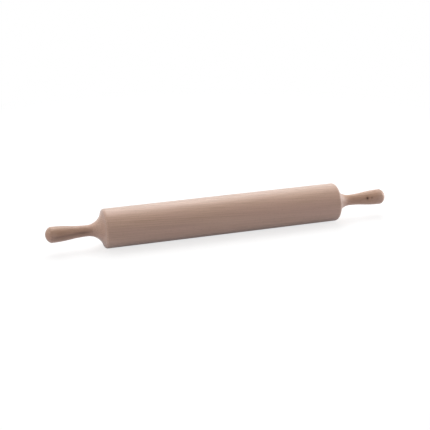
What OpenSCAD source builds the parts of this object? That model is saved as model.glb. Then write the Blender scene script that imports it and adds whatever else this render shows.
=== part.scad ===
// Handled rolling pin in beech: a straight barrel with hollow shoulders and two glued-in handles.
// Millimetres. The axis lies along X, Z is up, and the origin is the middle of the barrel.
// Each outline is a turner's template: arcs that run into each other without a corner.

/* [Barrel] */
// Diameter of the rolling surface
barrel_d = 60; // [50:1:66]
// Length of the barrel, measured between the corners of its rims
barrel_l = 376; // [250:1:500]
// Rounding of each rim
rim_r = 4.5; // [1:0.5:6]

/* [Shoulders] */
// Radius of the cove that sweeps from the rim down to the neck
cove_r = 25; // [23:0.5:30]

/* [Handles] */
// Length of a handle, from the rim's corner to the domed end
handle_l = 87; // [82:1:100]
// Diameter of the neck, the thinnest place
neck_d = 16.8; // [15:0.2:20]
// Diameter of the grip where it is thickest, which is also the rod that a handle is turned from
grip_d = 24; // [21:0.5:27]
// Distance from the domed end back to the thickest place
grip_from_end = 9; // [8:0.5:11]
// Radius of the long hollow between the neck and the grip
sweep_r = 180; // [120:5:220]
// Rounding between the grip and the domed end
end_r = 5.5; // [4:0.5:6.5]

/* [Glued joints] */
// Diameter of the socket bored into each end of the barrel
socket_d = 14; // [12:0.5:15]
// Depth of the socket
socket_depth = 42; // [41:1:50]
// Length of the tenon, which stops short of the socket's floor
tenon_l = 40; // [28:1:40]
// Glue line all round the tenon
glue_line = 0.05; // [0.02:0.01:0.1]
// Chamfer on the tenon's leading edge
tenon_chamfer = 1.5; // [0.5:0.5:2]

/* [Hidden] */
$fn = 96;
barrel_colour = [0.80, 0.65, 0.57];
handle_colour = [0.76, 0.60, 0.51];
// Degrees of arc between two points of an outline
arc_step = 3;

half_l = barrel_l / 2;
barrel_r = barrel_d / 2;
neck_r = neck_d / 2;
grip_r = grip_d / 2;
socket_r = socket_d / 2;
tenon_r = socket_r - glue_line;

// Outlines are points of [radius, distance outward from the rim's corner].
// The cove touches the neck and aims at the rim's sharp corner.
cove_centre_r = neck_r + cove_r;
neck_at = sqrt(pow(cove_r, 2) - pow(cove_centre_r - barrel_r, 2));

// The rim's rounding touches the rolling surface and the cove.
rim_to_cove = cove_centre_r - (barrel_r - rim_r);
rim_at = neck_at - sqrt(pow(cove_r + rim_r, 2) - pow(rim_to_cove, 2));
rim_turn = atan2(neck_at - rim_at, rim_to_cove);

// The seam is where the cove has come down to the rod that a handle is turned from.
seam_turn = acos((cove_centre_r - grip_r) / cove_r);
seam_at = neck_at - cove_r * sin(seam_turn);

// The long hollow and the grip's crown share one slope where they meet.
grip_at = handle_l - grip_from_end;
grip_run = grip_at - neck_at;
grip_rise = grip_r - neck_r;
both_radii = (pow(grip_run, 2) + pow(grip_rise, 2)) / (2 * grip_rise);
grip_slope = asin(grip_run / both_radii);
crown_r = both_radii - sweep_r;

// The domed end touches the inside of the rounding at its edge.
dome_r = (pow(grip_from_end, 2) + pow(grip_r, 2) - 2 * grip_r * end_r) / (2 * (grip_from_end - end_r));
dome_turn = atan2(dome_r - grip_from_end, grip_r - end_r);

// Points on an arc. Angle 0 looks away from the pin's axis, and 90 looks outward along it.
function arc(centre, r, from, to) =
    let (steps = ceil(abs(to - from) / arc_step))
    [for (i = [0:steps]) let (a = from + (to - from) * i / steps) centre + r * [cos(a), sin(a)]];

function rim() = arc([barrel_r - rim_r, rim_at], rim_r, 0, rim_turn);
function cove(from, to) = arc([cove_centre_r, neck_at], cove_r, 180 + from, 180 + to);
function hollow() = arc([neck_r + sweep_r, neck_at], sweep_r, 180, 180 - grip_slope);
function crown() = arc([grip_r - crown_r, grip_at], crown_r, -grip_slope, 0);
function end_rounding() = arc([grip_r - end_r, grip_at], end_r, 0, dome_turn);
function dome() = arc([0, handle_l - dome_r], dome_r, dome_turn, 90);
function without_first(points) = [for (i = [1:len(points) - 1]) points[i]];

// Both ends of the barrel in one outline, so that the rolling surface is one cylinder
module barrel_outline() {
    end = [for (p = concat(rim(), without_first(cove(rim_turn, seam_turn)), [[0, seam_at]])) p + [0, half_l]];
    polygon(concat(end, [for (i = [len(end) - 1:-1:0]) [end[i][0], -end[i][1]]]));
}

// A handle and its tenon, from the tenon's tip out to the domed end
module handle_outline() {
    tip_at = seam_at - tenon_l;
    tenon = [[0, tip_at], [tenon_r - tenon_chamfer, tip_at], [tenon_r, tip_at + tenon_chamfer], [tenon_r, seam_at]];
    polygon(concat(
        tenon,
        cove(seam_turn, 0),
        without_first(hollow()),
        without_first(crown()),
        without_first(end_rounding()),
        without_first(dome())
    ));
}

// Turns an outline about the pin's axis
module turned() {
    rotate([0, 90, 0])
        rotate_extrude()
            children();
}

// Blind bore in the barrel's right end
module socket() {
    translate([half_l + seam_at - socket_depth, 0, 0])
        rotate([0, 90, 0])
            cylinder(d = socket_d, h = socket_depth + 1);
}

// Handle in the barrel's right end
module handle() {
    color(handle_colour)
        translate([half_l, 0, 0])
            turned() handle_outline();
}

module barrel() {
    color(barrel_colour)
        difference() {
            turned() barrel_outline();
            socket();
            mirror([1, 0, 0]) socket();
        }
}

module right_handle() {
    handle();
}

module left_handle() {
    mirror([1, 0, 0]) handle();
}

barrel();
left_handle();
right_handle();
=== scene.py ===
import math

import bmesh
import bpy
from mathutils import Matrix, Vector


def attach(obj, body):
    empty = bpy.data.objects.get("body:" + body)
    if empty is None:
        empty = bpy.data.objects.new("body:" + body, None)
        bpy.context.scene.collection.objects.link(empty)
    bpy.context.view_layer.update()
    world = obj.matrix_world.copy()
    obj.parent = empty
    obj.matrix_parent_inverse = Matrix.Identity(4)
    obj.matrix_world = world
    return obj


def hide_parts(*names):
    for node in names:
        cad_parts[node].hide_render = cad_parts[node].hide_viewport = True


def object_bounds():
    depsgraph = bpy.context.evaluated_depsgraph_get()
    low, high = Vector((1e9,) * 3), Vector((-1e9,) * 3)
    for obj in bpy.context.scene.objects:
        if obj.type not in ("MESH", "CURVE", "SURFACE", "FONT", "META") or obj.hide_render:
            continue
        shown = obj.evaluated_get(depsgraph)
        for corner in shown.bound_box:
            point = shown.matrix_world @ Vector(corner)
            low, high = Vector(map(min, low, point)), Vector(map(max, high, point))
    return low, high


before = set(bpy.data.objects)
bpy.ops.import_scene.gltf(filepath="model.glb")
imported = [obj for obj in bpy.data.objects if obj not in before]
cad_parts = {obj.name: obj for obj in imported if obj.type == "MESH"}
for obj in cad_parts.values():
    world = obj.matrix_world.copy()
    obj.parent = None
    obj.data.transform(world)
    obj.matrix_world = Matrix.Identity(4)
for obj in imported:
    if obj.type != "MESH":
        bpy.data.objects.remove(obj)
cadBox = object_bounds()
mm = 0.001


def towards(azimuth, elevation):  # direction seen from the pin; azimuth 0 is its front
    a = math.radians(azimuth)
    e = math.radians(elevation)
    return Vector((math.sin(a) * math.cos(e), -math.cos(a) * math.cos(e), math.sin(e)))


def lookBack(thing, away):  # turns a camera or lamp that stands at away to face the pin
    thing.rotation_euler = (-away).to_track_quat("-Z", "Y").to_euler()


# Camera: the pin lies along X, and the photo was taken from the front left, a little above

cameraView = {
    "azimuth": -18.142,
    "elevation": 20.972,
    "distance": 1.5783,         # metres from the point it looks at
    "aim": (-0.01165, 0.00368, -0.00034),
    "lens": 85.56,              # millimetres
    "sensor": 36.0,
}


def placeCamera(view):
    away = towards(view["azimuth"], view["elevation"])
    data = bpy.data.cameras.new("camera")
    data.sensor_width = view["sensor"]
    data.lens = view["lens"]
    camera = bpy.data.objects.new("camera", data)
    bpy.context.scene.collection.objects.link(camera)
    camera.location = Vector(view["aim"]) + away * view["distance"]
    lookBack(camera, away)
    bpy.context.scene.camera = camera


placeCamera(cameraView)
bpy.context.scene.view_settings.view_transform = "Standard"
print("camera placed")


# Nodes: arithmetic on a Wire adds Math nodes, and every node is made by Shader.add

class Wire:
    def __init__(self, shader, socket):
        self.shader = shader
        self.socket = socket

    def __add__(self, other):
        return self.shader.maths("ADD", self, other)

    def __radd__(self, other):
        return self.shader.maths("ADD", other, self)

    def __sub__(self, other):
        return self.shader.maths("SUBTRACT", self, other)

    def __rsub__(self, other):
        return self.shader.maths("SUBTRACT", other, self)

    def __mul__(self, other):
        return self.shader.maths("MULTIPLY", self, other)

    def __rmul__(self, other):
        return self.shader.maths("MULTIPLY", other, self)

    def __truediv__(self, other):
        return self.shader.maths("DIVIDE", self, other)

    def __rtruediv__(self, other):
        return self.shader.maths("DIVIDE", other, self)

    def __pow__(self, other):
        return self.shader.maths("POWER", self, other)

    def __rpow__(self, other):
        return self.shader.maths("POWER", other, self)

    def __abs__(self):
        return self.shader.maths("ABSOLUTE", self)

    def between(self, low, high):  # smooth step from 0 at low to 1 at high
        settings = {"interpolation_type": "SMOOTHSTEP"}
        inputs = {"Value": self, "From Min": low, "From Max": high}
        return self.shader.add("MapRange", settings, inputs)


class Shader:
    def __init__(self, owner):  # a new material or world
        owner.use_nodes = True
        self.owner = owner
        self.tree = owner.node_tree
        self.tree.nodes.clear()

    def add(self, kind, settings=None, inputs=None, output=0):
        node = self.tree.nodes.new("ShaderNode" + kind)
        for name, value in (settings or {}).items():
            if name == "stops":
                self.setStops(node.color_ramp, value)
            else:
                setattr(node, name, value)
        for name, value in (inputs or {}).items():
            if isinstance(value, Wire):
                self.tree.links.new(value.socket, node.inputs[name])
            else:
                node.inputs[name].default_value = value
        return Wire(self, node.outputs[output]) if node.outputs else node

    def setStops(self, ramp, stops):
        while len(ramp.elements) > 1:
            ramp.elements.remove(ramp.elements[-1])
        ramp.elements[0].position = stops[0][0]
        ramp.elements[0].color = grey(stops[0][1])
        for position, shade in stops[1:]:
            ramp.elements.new(position).color = grey(shade)

    def maths(self, operation, *values):
        return self.add("Math", {"operation": operation}, dict(enumerate(values)))

    def vector(self, x, y, z):
        return self.add("CombineXYZ", None, {0: x, 1: y, 2: z})

    def coordinates(self, kind):  # x, y and z of the place or the normal
        source = self.add("TexCoord", None, None, kind)
        return [self.add("SeparateXYZ", None, {0: source}, axis) for axis in "XYZ"]

    def noise(self, x, y, z, detail=2.0, roughness=0.5):
        inputs = {
            "Vector": self.vector(x, y, z),
            "Scale": 1.0,
            "Detail": detail,
            "Roughness": roughness,
        }
        return self.add("TexNoise", {"noise_dimensions": "3D"}, inputs, "Fac")

    def cells(self, x, y, z):  # distance to the middle of the nearest cell
        inputs = {"Vector": self.vector(x, y, z), "Scale": 1.0}
        return self.add("TexVoronoi", {"feature": "F1"}, inputs, "Distance")

    def mixColour(self, factor, first, second, blend="MIX"):
        settings = {"data_type": "RGBA", "blend_type": blend}
        inputs = {0: factor, 6: first, 7: second}       # 6, 7 and output 2 are its colour sockets
        return self.add("Mix", settings, inputs, 2)

    def backdropRay(self):  # 1 where the camera, a gloss or a glass looks at the backdrop
        kinds = ("Is Camera Ray", "Is Glossy Ray", "Is Transmission Ray")
        camera, gloss, glass = [self.add("LightPath", None, None, kind) for kind in kinds]
        return self.maths("MAXIMUM", self.maths("MAXIMUM", camera, gloss), glass)

    def finish(self, kind, surface):
        self.add("Output" + kind, None, {"Surface": surface})
        return self.owner


def grey(value):
    return (value, value, value, 1.0)


# Studio: white floor and backdrop, softboxes above, behind and at both sides, weak light all round

studio = {
    "floorSize": 12.0,
    "floorAlbedo": (0.64, 0.655, 0.74, 1.0),    # what the floor throws back at the pin
    "floorGlow": 0.74,          # lifts the lit floor to white for the camera
    "floorShade": 0.38,         # how much of the shadow the camera sees
    "contactReach": 0.015,      # metres from the pin within which its gloss sees a painted contact shadow on the floor
    "shadeReach": (0.45, 0.90), # metres from the middle over which the floor turns plain white
    "ambient": 0.24,            # light from all round
    "softboxes": [
        # name, azimuth and elevation, distance, width, height, watts
        ("overhead", 180.0, 80.0, 1.8, 2.0, 0.8, 9.4),
        ("back_low", 180.0, 22.0, 1.8, 2.4, 0.8, 3.9),
        ("back_right", 160.0, 50.0, 1.8, 0.9, 1.0, 11.6),
        ("back_left", -150.0, 50.0, 1.8, 0.9, 1.0, 2.8),
        ("right_side", 90.0, 10.0, 1.8, 0.9, 0.8, 14.5),
        ("left_side", -90.0, 26.0, 1.8, 0.9, 0.8, 5.6),
    ],
}


def makeFloor(values):
    edge = values["floorSize"] / 2
    bottom = cadBox[0].z
    mesh = bpy.data.meshes.new("floor")
    corners = [(-edge, -edge), (edge, -edge), (edge, edge), (-edge, edge)]
    mesh.from_pydata([(x, y, bottom) for x, y in corners], [], [(0, 1, 2, 3)])
    floor = bpy.data.objects.new("floor", mesh)
    bpy.context.scene.collection.objects.link(floor)

    shader = Shader(bpy.data.materials.new("white_floor"))
    plain = shader.add("BsdfDiffuse", None, {"Color": values["floorAlbedo"]})
    shaded = shader.add("BsdfDiffuse", None, {"Color": grey(values["floorShade"])})

    # the camera sees the whole glow, and the wood's gloss sees it fade under the pin: a painted contact
    # shadow from ambient occlusion
    camera = shader.add("LightPath", None, None, "Is Camera Ray")
    clear = shader.add("AmbientOcclusion", None, {"Distance": values["contactReach"]}, "AO")
    brightness = shader.maths("MAXIMUM", camera, clear) * values["floorGlow"]
    glow = shader.add("Emission", None, {"Color": brightness})
    lifted = shader.add("AddShader", None, {0: shaded, 1: glow})

    white = shader.add("Emission", None, {"Color": grey(1.0)})
    place = shader.add("TexCoord", None, None, "Object")
    away = shader.add("VectorMath", {"operation": "LENGTH"}, {0: place}, "Value")
    far = away.between(*values["shadeReach"])
    backdrop = shader.add("MixShader", None, {0: far, 1: lifted, 2: white})
    surface = shader.add("MixShader", None, {0: shader.backdropRay(), 1: plain, 2: backdrop})
    mesh.materials.append(shader.finish("Material", surface))


def makeWorld(values):
    shader = Shader(bpy.data.worlds.new("studio"))
    ambient = shader.add("Background", None, {"Color": grey(1.0), "Strength": values["ambient"]})
    white = shader.add("Background", None, {"Color": grey(1.0), "Strength": 1.0})
    surface = shader.add("MixShader", None, {0: shader.backdropRay(), 1: ambient, 2: white})
    bpy.context.scene.world = shader.finish("World", surface)


def makeSoftbox(name, azimuth, elevation, distance, width, height, watts):
    away = towards(azimuth, elevation)
    data = bpy.data.lights.new(name, "AREA")
    data.shape = "RECTANGLE"
    data.size = width
    data.size_y = height
    data.energy = watts
    lamp = bpy.data.objects.new(name, data)
    lamp.location = away * distance
    lookBack(lamp, away)
    lamp.visible_camera = False
    bpy.context.scene.collection.objects.link(lamp)


makeFloor(studio)
makeWorld(studio)
for softbox in studio["softboxes"]:
    makeSoftbox(*softbox)
print("floor, backdrop and lamps made")


# Turning: the turner's templates of the CAD source, in millimetres.
# An outline point is (radius, distance outward from the rim's corner).

lathe = {
    "facets": 192,              # round the axis
    "arcStep": 1.5,             # degrees between two points of an arc
    "longest": 6.0,             # millimetres between two rings of the rolling surface
    "sharp": 25.0,              # degrees between two faces that show as a corner
}


def arc(centre, radius, start, stop):
    steps = max(2, math.ceil(abs(stop - start) / lathe["arcStep"]))
    angles = [math.radians(start + (stop - start) * i / steps) for i in range(steps + 1)]
    return [(centre[0] + radius * math.cos(a), centre[1] + radius * math.sin(a)) for a in angles]


def makeOutlines(barrel, handle):
    barrelR = barrel["diameter"] / 2
    neckR = handle["neck"] / 2
    gripR = handle["grip"] / 2

    # the cove touches the neck and aims at the rim's corner, and the rim's rounding touches the cove
    cove = barrel["cove"]
    coveCentre = neckR + cove
    neckAt = math.sqrt(cove ** 2 - (coveCentre - barrelR) ** 2)
    rimRound = barrel["rimRound"]
    rimToCove = coveCentre - (barrelR - rimRound)
    rimAt = neckAt - math.sqrt((cove + rimRound) ** 2 - rimToCove ** 2)
    rimTurn = math.degrees(math.atan2(neckAt - rimAt, rimToCove))
    rimArc = arc((barrelR - rimRound, rimAt), rimRound, 0, rimTurn)

    # the seam is where the cove has come down to the rod that a handle is turned from
    seamTurn = math.degrees(math.acos((coveCentre - gripR) / cove))
    seamAt = neckAt - cove * math.sin(math.radians(seamTurn))
    outerCove = arc((coveCentre, neckAt), cove, 180 + rimTurn, 180 + seamTurn)
    innerCove = arc((coveCentre, neckAt), cove, 180 + seamTurn, 180)

    # the long hollow and the grip's crown share one slope where they meet
    gripAt = handle["length"] - handle["gripFromEnd"]
    sweep = handle["sweep"]
    run = gripAt - neckAt
    rise = gripR - neckR
    bothRadii = (run ** 2 + rise ** 2) / (2 * rise)
    slope = math.degrees(math.asin(run / bothRadii))
    crown = bothRadii - sweep
    hollow = arc((neckR + sweep, neckAt), sweep, 180, 180 - slope)
    crownArc = arc((gripR - crown, gripAt), crown, -slope, 0)

    # the domed end touches the inside of the rounding at its edge
    endRound = handle["endRound"]
    toEnd = handle["gripFromEnd"]
    dome = (toEnd ** 2 + gripR ** 2 - 2 * gripR * endRound) / (2 * (toEnd - endRound))
    domeTurn = math.degrees(math.atan2(dome - toEnd, gripR - endRound))
    edge = arc((gripR - endRound, gripAt), endRound, 0, domeTurn)
    domeArc = arc((0, handle["length"] - dome), dome, domeTurn, 90)

    socketR = barrel["socket"] / 2
    floorAt = seamAt - barrel["socketDepth"]
    barrelEnd = rimArc + outerCove[1:] + [(socketR, seamAt), (socketR, floorAt), (0, floorAt)]
    tenonR = handle["tenon"] / 2
    tipAt = seamAt - handle["tenonLength"]
    chamfer = handle["tenonChamfer"]
    tenon = [(0, tipAt), (tenonR - chamfer, tipAt), (tenonR, tipAt + chamfer), (tenonR, seamAt)]
    grip = innerCove + hollow[1:] + crownArc[1:] + edge[1:] + domeArc[1:]
    return barrelEnd, tenon + grip, seamAt


def subdivided(start, stop):  # rings between two points, so that long faces stay short
    parts = math.ceil(math.dist(start, stop) / lathe["longest"])
    return [
        tuple(a + (b - a) * i / parts for a, b in zip(start, stop))
        for i in range(1, parts)
    ]


def turn(name, outline):  # outline of (radius, x) in millimetres, from pole to pole
    mesh = bpy.data.meshes.new(name)
    bm = bmesh.new()
    facets = lathe["facets"]
    angles = [2 * math.pi * i / facets for i in range(facets)]
    rings = []
    for radius, x in outline:
        if math.isclose(radius, 0.0, abs_tol=1e-6):
            rings.append([bm.verts.new((x * mm, 0, 0))])
            continue
        rings.append([
            bm.verts.new((x * mm, radius * math.cos(a) * mm, radius * math.sin(a) * mm))
            for a in angles
        ])
    for first, second in zip(rings, rings[1:]):
        for i in range(facets):
            j = (i + 1) % facets
            if len(first) == 1:
                bm.faces.new((first[0], second[j], second[i]))
            elif len(second) == 1:
                bm.faces.new((first[i], first[j], second[0]))
            else:
                bm.faces.new((first[i], first[j], second[j], second[i]))
    bmesh.ops.recalc_face_normals(bm, faces=bm.faces)
    for face in bm.faces:
        face.smooth = True
    for edge in bm.edges:
        edge.smooth = edge.calc_face_angle(0) < math.radians(lathe["sharp"])
    bm.to_mesh(mesh)
    bm.free()
    piece = bpy.data.objects.new(name, mesh)
    bpy.context.scene.collection.objects.link(piece)
    return piece


# Beech: growth rings round a pith outside the piece, rays that run out from it, fine fibres.
# Sizes named "...Cells" are noise cells per metre, along the piece and then across it.

beech = {
    "pale": (0.675, 0.438, 0.320, 1.0),
    "deep": (0.530, 0.324, 0.227, 1.0),
    "rosy": (0.642, 0.400, 0.311, 1.0),
    "ray": (0.400, 0.238, 0.158, 1.0),
    # painted shade: the colour of the dark streaks along a handle's front
    "shadeStreak": (0.330, 0.200, 0.150, 1.0),
    "endGrain": (0.95, 0.91, 0.87, 1.0),        # end grain drinks in more light
    "seamLine": (0.300, 0.170, 0.110, 1.0),
    "knotRing": (0.350, 0.175, 0.095, 1.0),
    "knot": (0.085, 0.032, 0.015, 1.0),
    "pithCells": 3.0,
    "rippleCells": (14.0, 60.0),
    "ripple": 0.0016,           # metres that a ring strays
    "unevenCells": 160.0,
    "uneven": 3.0,              # rings by which wide and narrow years shift the rest
    "ringStops": [(0.0, 0.10), (0.45, 0.20), (0.78, 0.46), (0.92, 1.0), (1.0, 0.10)],
    "yearCells": 330.0,
    "yearDepth": 0.7,
    "base": 0.16,               # how deep the wood's tone is before the grain is added
    "smooth": 1.0,              # detail of the noises that only drift
    "fibreCells": (60.0, 3200.0),
    "fibreDetail": (3.0, 0.6),  # detail and roughness
    "fibreDepth": 0.35,
    "streakCells": (7.0, 420.0),
    "streakDetail": (3.0, 0.55),
    "cloudCells": (9.0, 40.0),
    "cloud": (0.35, 0.75, 0.6),         # from, to, strength of the rosy patches
    "rayRadius": 0.080,                 # where the rays' thickness is measured
    # a ray's length, height and thickness, how far from its middle it turns clear (from, to), strength
    "bigRays": (0.0062, 0.0120, 0.00080, 0.16, 0.30, 0.8),
    "smallRays": (0.0036, 0.0060, 0.00046, 0.18, 0.32, 0.6),
    "apart": {"lift": 5.0, "year": 2.0, "smallRays": 7.0},      # keep patterns of one seed from matching
    "quarterFade": 0.65,                # flecks are broad but faint where a ray lies flat
    "endFacing": (0.45, 1.0),           # how far a face looks along X where end grain comes in
    "endRings": 0.8,                    # rings are stronger there
    "toolCells": 520.0,
    "toolFacing": (0.05, 0.35),
    "toolDepth": 1.2,
    "shadeTintRun": 0.018,                   # metres from the seam over which a handle's painted shade comes in
    "tip": (0.057, 0.065),              # metres from the seam to the domed end
    "seam": (0.00004, 0.00011, 0.55),   # half width of the line and of its soft edge, strength
    "sandingCells": (2600.0, 30.0),
    "rough": {"base": 0.42, "fibre": 0.16, "ring": 0.05, "ray": 0.08, "end": 0.08},
    "bump": {
        "fibre": 0.5,
        "streak": 0.3,
        "ray": 0.35,
        "ring": 0.25,
        "seam": 0.6,
        "sanding": 0.12,
        "endSanding": 0.5,
        "strength": 0.5,
        "distance": 0.00008,
    },
    "sheenRoughness": 0.5,
}
knotLook = {
    "raggedCells": 900.0,
    "ragged": 0.7,
    "core": (0.60, 1.0),        # from dark to clear, in knot sizes from its middle
    "ring": (0.9, 2.2),
    "ringStrength": 0.60,
    "bendReach": 4.5,           # how far off the grain still flows round it
    "bend": 1.6,
}
# painted shade streaks: how they fray, fade in and out, and keep to the front
shadeStreakLook = {
    "raggedCells": (40.0, 300.0),
    "ragged": 0.8,
    "start": (-0.15, 0.15),     # where it fades in and out, as a share of its length
    "stop": (0.80, 1.25),
    "edge": 1.1,
    "front": (-0.005, 0.0),     # y over which it fades, so that it stays off the back
}


def addKnots(shader, x, y, z, knots):  # how dark, how brown, and how the grain bends round them
    core = 0.0
    ring = 0.0
    bend = 0.0
    cells = knotLook["raggedCells"]
    for knotX, knotY, knotZ, half, width, strength in knots:
        along = (x - knotX) / half
        across = shader.maths("SQRT", (y - knotY) ** 2 + (z - knotZ) ** 2) / width
        ragged = (shader.noise(x * cells, y * cells, z * cells) - 0.5) * knotLook["ragged"]
        away = shader.maths("SQRT", along ** 2 + across ** 2) + ragged
        core = (1 - away.between(*knotLook["core"])) * strength + core
        ring = (1 - away.between(*knotLook["ring"])) * strength + ring
        near = (1 - away.between(0.0, knotLook["bendReach"])) * strength
        bend = near * (z - knotZ) * knotLook["bend"] + bend
    return core, ring, bend


def addShadeStreaks(shader, x, y, z, shadeStreaks):  # painted shade: soft dark streaks along the front of a piece, where less light reaches it
    total = 0.0
    alongCells, acrossCells = shadeStreakLook["raggedCells"]
    for startX, startZ, endX, endZ, half, strength in shadeStreaks:
        along = (x - startX) / (endX - startX)
        ragged = shader.noise(x * alongCells, y * acrossCells, z * acrossCells) - 0.5
        off = abs((z - startZ - along * (endZ - startZ)) / half) + ragged * shadeStreakLook["ragged"]
        ends = along.between(*shadeStreakLook["start"]) * (1 - along.between(*shadeStreakLook["stop"]))
        front = 1 - y.between(*shadeStreakLook["front"])
        total = (1 - off.between(0.0, shadeStreakLook["edge"])) * ends * front * strength + total
    return total


def addRays(shader, x, radius, sideways, size, shift=0.0):  # thin sheets, short along the grain
    length, height, thickness, dark, clear, strength = size
    cell = shader.cells(x / length + shift, radius / height, sideways / thickness)
    return (1 - cell.between(dark, clear)) * strength


def makeBeech(name, wood, seamX):  # seamX: metres from the middle of the pin to a seam
    shader = Shader(bpy.data.materials.new(name))
    seed = wood["seed"]
    apart = beech["apart"]
    smooth = beech["smooth"]
    x, rawY, rawZ = shader.coordinates("Object")
    normalX, normalY, normalZ = shader.coordinates("Normal")
    facing = abs(normalX)
    ends = facing.between(*beech["endFacing"])
    knotCore, knotRing, bend = addKnots(shader, x, rawY, rawZ, wood["knots"])
    y = rawY - x * wood["slope"][0]
    z = rawZ - x * wood["slope"][1] + bend

    def spread(cells, detail=2.0, roughness=0.5):  # noise that follows the grain
        along, across = beech[cells]
        return shader.noise(x * along + seed, y * across, z * across, detail, roughness)

    # growth rings round the wandering pith
    pithCells = beech["pithCells"]
    sway = shader.noise(x * pithCells + seed, 0.0, 0.0, smooth) - 0.5
    lift = shader.noise(x * pithCells, seed + apart["lift"], 0.0, smooth) - 0.5
    fromPithY = y - wood["pith"][0] + sway * wood["wander"]
    fromPithZ = z - wood["pith"][1] + lift * wood["wander"]
    radius = shader.maths("SQRT", fromPithY ** 2 + fromPithZ ** 2)
    ripple = (spread("rippleCells") - 0.5) * beech["ripple"]
    uneven = shader.noise(radius * beech["unevenCells"], seed, 0.0) - 0.5
    ring = (radius + ripple) / wood["ringWidth"] + uneven * beech["uneven"]
    phase = shader.maths("FRACT", ring)
    ringShade = shader.add("ValToRGB", {"stops": beech["ringStops"]}, {0: phase}, "Color")
    ringShade = shader.add("RGBToBW", None, {0: ringShade})
    yearTone = shader.noise(radius * beech["yearCells"], seed + apart["year"], 0.0, smooth) - 0.5

    # rays stand on the pith and show as flecks
    sideways = shader.maths("ARCTAN2", fromPithZ, fromPithY) * beech["rayRadius"]
    rays = addRays(shader, x, radius, sideways, beech["bigRays"])
    rays = rays + addRays(shader, x, radius, sideways, beech["smallRays"], apart["smallRays"])
    quarterFace = abs((normalZ * fromPithY - normalY * fromPithZ) / radius)
    rays = rays * (1 - quarterFace * beech["quarterFade"])

    # fibres, streaks, slow changes of tone, and the turning tool's marks on the hollows
    fibre = spread("fibreCells", *beech["fibreDetail"])
    streak = spread("streakCells", *beech["streakDetail"])
    cloudFrom, cloudTo, cloudStrength = beech["cloud"]
    cloud = spread("cloudCells").between(cloudFrom, cloudTo) * cloudStrength
    turning = shader.noise(x * beech["toolCells"], 0.0, seed, smooth) - 0.5
    marks = turning * facing.between(*beech["toolFacing"]) * (1 - ends)

    depth = ringShade * wood["ringDepth"] * (1 + ends * beech["endRings"])
    depth = depth + yearTone * beech["yearDepth"] + (fibre - 0.5) * beech["fibreDepth"]
    depth = depth + marks * beech["toolDepth"] + (streak - 0.5) * wood["streakDepth"]
    colour = shader.mixColour(depth + beech["base"], beech["pale"], beech["deep"])
    colour = shader.mixColour(cloud, colour, beech["rosy"])
    colour = shader.mixColour(rays * wood["rayDepth"], colour, beech["ray"])
    # painted shade streaks where a piece gets less light
    if wood["shadeStreaks"]:
        shadeStreaks = addShadeStreaks(shader, x, rawY, rawZ, wood["shadeStreaks"])
        colour = shader.mixColour(shadeStreaks, colour, beech["shadeStreak"])
    colour = shader.mixColour(ends, colour, beech["endGrain"], "MULTIPLY")

    # painted shade: each handle is darkened by its own tint, and its domed end keeps less of it, which
    # is painted light; then the glued seam
    beyondSeam = abs(x) - seamX
    tip = beyondSeam.between(*beech["tip"]) * wood["tipLight"]
    shadeTinted = beyondSeam.between(0.0, beech["shadeTintRun"]) * (1 - tip)
    colour = shader.mixColour(shadeTinted, colour, wood["shadeTint"], "MULTIPLY")
    seamLine, seamEdge, seamStrength = beech["seam"]
    seam = 1 - abs(beyondSeam).between(seamLine, seamEdge)
    colour = shader.mixColour(seam * seamStrength, colour, beech["seamLine"])
    if wood["knots"]:
        colour = shader.mixColour(knotRing * knotLook["ringStrength"], colour, beech["knotRing"])
        colour = shader.mixColour(knotCore, colour, beech["knot"])

    # sandpaper leaves faint rings, most of all on end grain
    sandAlong, sandAcross = beech["sandingCells"]
    sanding = shader.noise(x * sandAlong, rawY * sandAcross, rawZ * sandAcross, smooth)
    bump = beech["bump"]
    height = fibre * bump["fibre"] + streak * bump["streak"] - rays * bump["ray"]
    height = height - ringShade * bump["ring"] - seam * bump["seam"]
    height = height + sanding * (bump["sanding"] + ends * bump["endSanding"])
    normal = shader.add("Bump", None, {
        "Height": height,
        "Strength": bump["strength"],
        "Distance": bump["distance"],
    })
    rough = beech["rough"]
    roughness = rough["base"] + (fibre - 0.5) * rough["fibre"] + ringShade * rough["ring"]
    roughness = roughness - rays * rough["ray"] + ends * rough["end"]
    surface = shader.add("BsdfPrincipled", None, {
        "Base Color": colour,
        "Roughness": roughness,
        "Normal": normal,
        "Sheen Weight": wood["sheen"],
        "Sheen Roughness": beech["sheenRoughness"],
    })
    return shader.finish("Material", surface)


# Pieces: shapes in millimetres, wood in metres.
# A knot is x, y, z on the surface, half length along the grain, half width, strength.
# A painted shade streak is x and z of both ends on the front, half width, strength.

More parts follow.
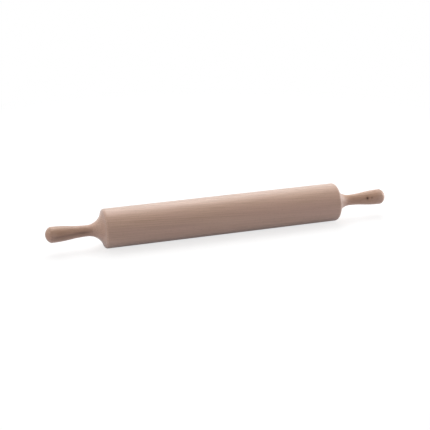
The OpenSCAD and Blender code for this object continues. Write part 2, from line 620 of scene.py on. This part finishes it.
barrelValues = {
    "diameter": 60.0,
    "length": 376.0,                # between the corners of its rims
    "rimRound": 4.5,
    "cove": 25.0,                   # radius of the hollow shoulder
    "socket": 14.0,
    "socketDepth": 42.0,
    "pith": (-0.015, -0.084),       # y and z of the tree's middle
    "slope": (0.012, -0.052),       # how the grain runs off the axis, in y and z per x
    "wander": 0.010,                # how far the pith strays along the piece
    "ringWidth": 0.0026,
    "ringDepth": 0.62,
    "streakDepth": 1.70,
    "rayDepth": 0.50,
    "sheen": 0.65,
    "seed": 0.0,
    "shadeTint": (1.0, 1.0, 1.0, 1.0),
    "tipLight": 0.0,
    "knots": [],
    "shadeStreaks": [],
}
handleValues = {                    # what both handles share
    "length": 87.0,                 # from the rim's corner to the domed end
    "neck": 16.8,
    "grip": 24.0,
    "gripFromEnd": 9.0,
    "sweep": 180.0,                 # radius of the long hollow
    "endRound": 5.5,
    "tenon": 13.9,
    "tenonLength": 40.0,
    "tenonChamfer": 1.5,
    "wander": 0.004,
    "ringDepth": 0.60,
    "streakDepth": 1.20,
    "rayDepth": 0.50,
}
leftValues = {
    **handleValues,
    "pith": (0.060, -0.012),
    "slope": (0.010, 0.040),
    "ringWidth": 0.0021,
    "sheen": 0.35,
    "seed": 3.7,
    "shadeTint": (0.83, 0.775, 0.71, 1.0),   # painted shade: the grip is darker and browner than the shoulder, for the less light it gets
    "tipLight": 0.35,                    # painted light: how much of the painted shade the domed end loses
    "knots": [],
    # painted shade along the grip's front, a little below its middle, where less light reaches it
    "shadeStreaks": [
        (-0.268, -0.0032, -0.214, -0.0006, 0.0046, 0.38),
        (-0.262, -0.0006, -0.208, 0.0013, 0.0022, 0.42),
    ],
}
rightValues = {
    **handleValues,
    "pith": (0.075, 0.004),
    "slope": (-0.030, 0.020),
    "ringWidth": 0.0019,
    "sheen": 0.20,
    "seed": 8.1,
    # painted shade on the grip, and painted light on its domed end, where the light from the right falls
    "shadeTint": (0.89, 0.835, 0.78, 1.0),
    "tipLight": 0.9,
    "knots": [
        (0.2412, -0.0101, 0.0033, 0.0022, 0.0024, 1.0),
        (0.2486, -0.0110, 0.0036, 0.0022, 0.0015, 0.40),
    ],
    "shadeStreaks": [],
}

barrelEnd, handleOutline, seamAt = makeOutlines(barrelValues, handleValues)
halfLength = barrelValues["length"] / 2
seamX = (halfLength + seamAt) * mm
rightEnd = [(r, x + halfLength) for r, x in reversed(barrelEnd)]
leftEnd = [(r, -x - halfLength) for r, x in barrelEnd]
rolling = subdivided(rightEnd[-1], leftEnd[0])
rightGrip = [(r, x + halfLength) for r, x in handleOutline]
leftGrip = [(r, -x - halfLength) for r, x in handleOutline]
pieces = (
    ("barrel", "beech_barrel", rightEnd + rolling + leftEnd, barrelValues),
    ("left_handle", "beech_handle", leftGrip, leftValues),
    ("right_handle", "beech_handle", rightGrip, rightValues),
)
for node, slot, outline, values in pieces:
    piece = turn("turned_" + node, outline)
    piece.data.materials.append(makeBeech("beech_" + node + "_wood", values, seamX))
    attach(piece, "root")
    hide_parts(node)
    print(node + " turned and finished")
